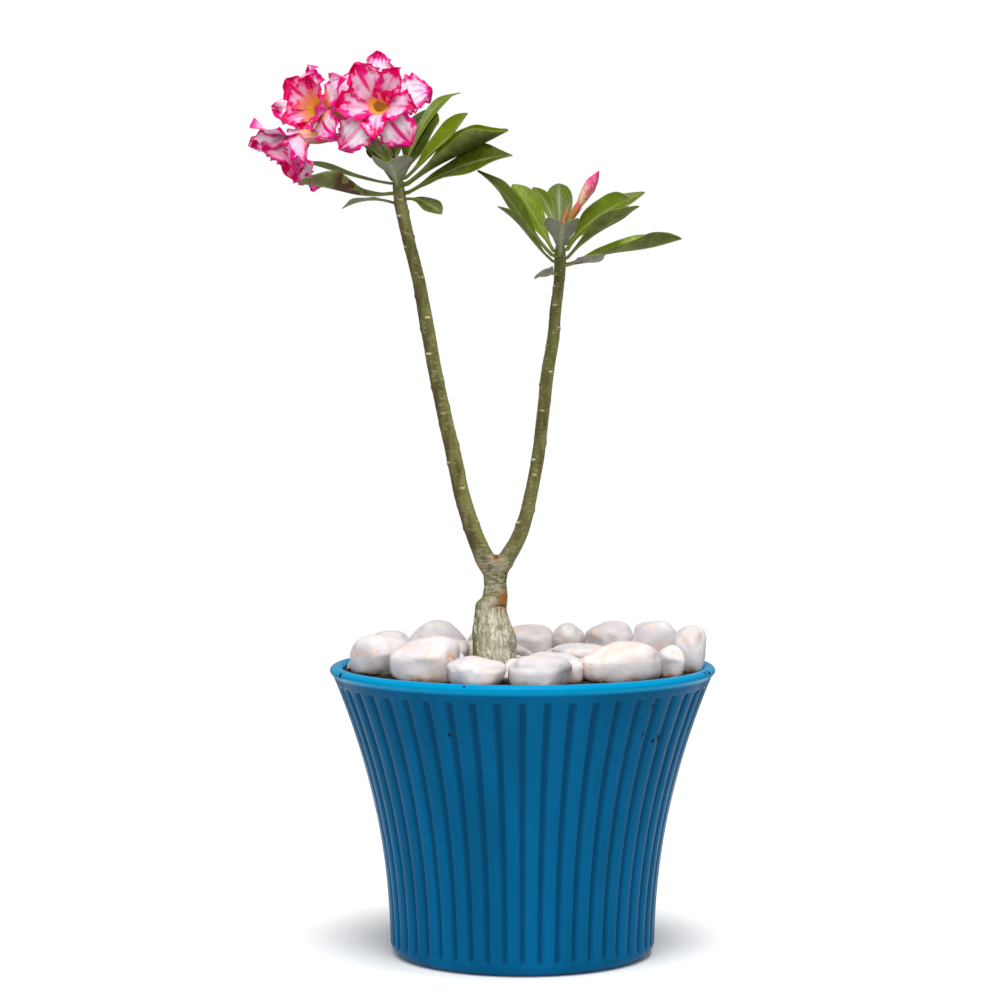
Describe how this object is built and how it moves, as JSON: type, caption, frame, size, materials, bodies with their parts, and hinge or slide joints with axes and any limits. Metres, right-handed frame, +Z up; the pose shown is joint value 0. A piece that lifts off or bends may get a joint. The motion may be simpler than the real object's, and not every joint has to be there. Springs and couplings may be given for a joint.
{
  "type": "potted plant",
  "caption": "Desert rose (adenium) with a forked stem, two leaf rosettes, double flowers and a bud, in a fluted plastic pot topped with pebbles.",
  "frame": {"origin": "centre of the pot's underside, on the surface it stands on", "axes": "+Z up along the pot's axis, -Y towards the front, +X to the right seen from the front"},
  "size_m": [0.2898, 0.25, 0.5777],
  "materials": {
    "pot": "gloss",
    "soil": "matte",
    "caudex_bark": "matte",
    "stem_bark": "satin",
    "leaf": "satin",
    "flower_stalk": "satin",
    "petal_outer": "satin",
    "petal_inner": "satin",
    "bud": "satin",
    "pebble": "matte"
  },
  "bodies": {
    "root": {"pot": "pot", "soil": "soil", "caudex": "caudex_bark", "stem_left": "stem_bark", "stem_right": "stem_bark", "leaf_left_01": "leaf", "leaf_left_02": "leaf", "leaf_left_03": "leaf", "leaf_left_04": "leaf", "leaf_left_05": "leaf", "leaf_left_06": "leaf", "leaf_left_07": "leaf", "leaf_left_08": "leaf", "leaf_left_09": "leaf", "leaf_left_10": "leaf", "leaf_left_11": "leaf", "leaf_left_12": "leaf", "leaf_right_01": "leaf", "leaf_right_02": "leaf", "leaf_right_03": "leaf", "leaf_right_04": "leaf", "leaf_right_05": "leaf", "leaf_right_06": "leaf", "leaf_right_07": "leaf", "leaf_right_08": "leaf", "leaf_right_09": "leaf", "leaf_right_10": "leaf", "leaf_right_11": "leaf", "leaf_right_12": "leaf", "pedicel_1": "flower_stalk", "petals_outer_1": "petal_outer", "petals_inner_1": "petal_inner", "pedicel_2": "flower_stalk", "petals_outer_2": "petal_outer", "petals_inner_2": "petal_inner", "pedicel_3": "flower_stalk", "petals_outer_3": "petal_outer", "petals_inner_3": "petal_inner", "pedicel_bud": "flower_stalk", "bud": "bud", "bud_small": "bud", "pebble_01": "pebble", "pebble_02": "pebble", "pebble_03": "pebble", "pebble_04": "pebble", "pebble_05": "pebble", "pebble_06": "pebble", "pebble_07": "pebble", "pebble_08": "pebble", "pebble_09": "pebble", "pebble_10": "pebble", "pebble_11": "pebble", "pebble_12": "pebble", "pebble_13": "pebble", "pebble_14": "pebble", "pebble_15": "pebble", "pebble_16": "pebble", "pebble_17": "pebble", "pebble_18": "pebble", "pebble_19": "pebble"}
  },
  "joints": []
}
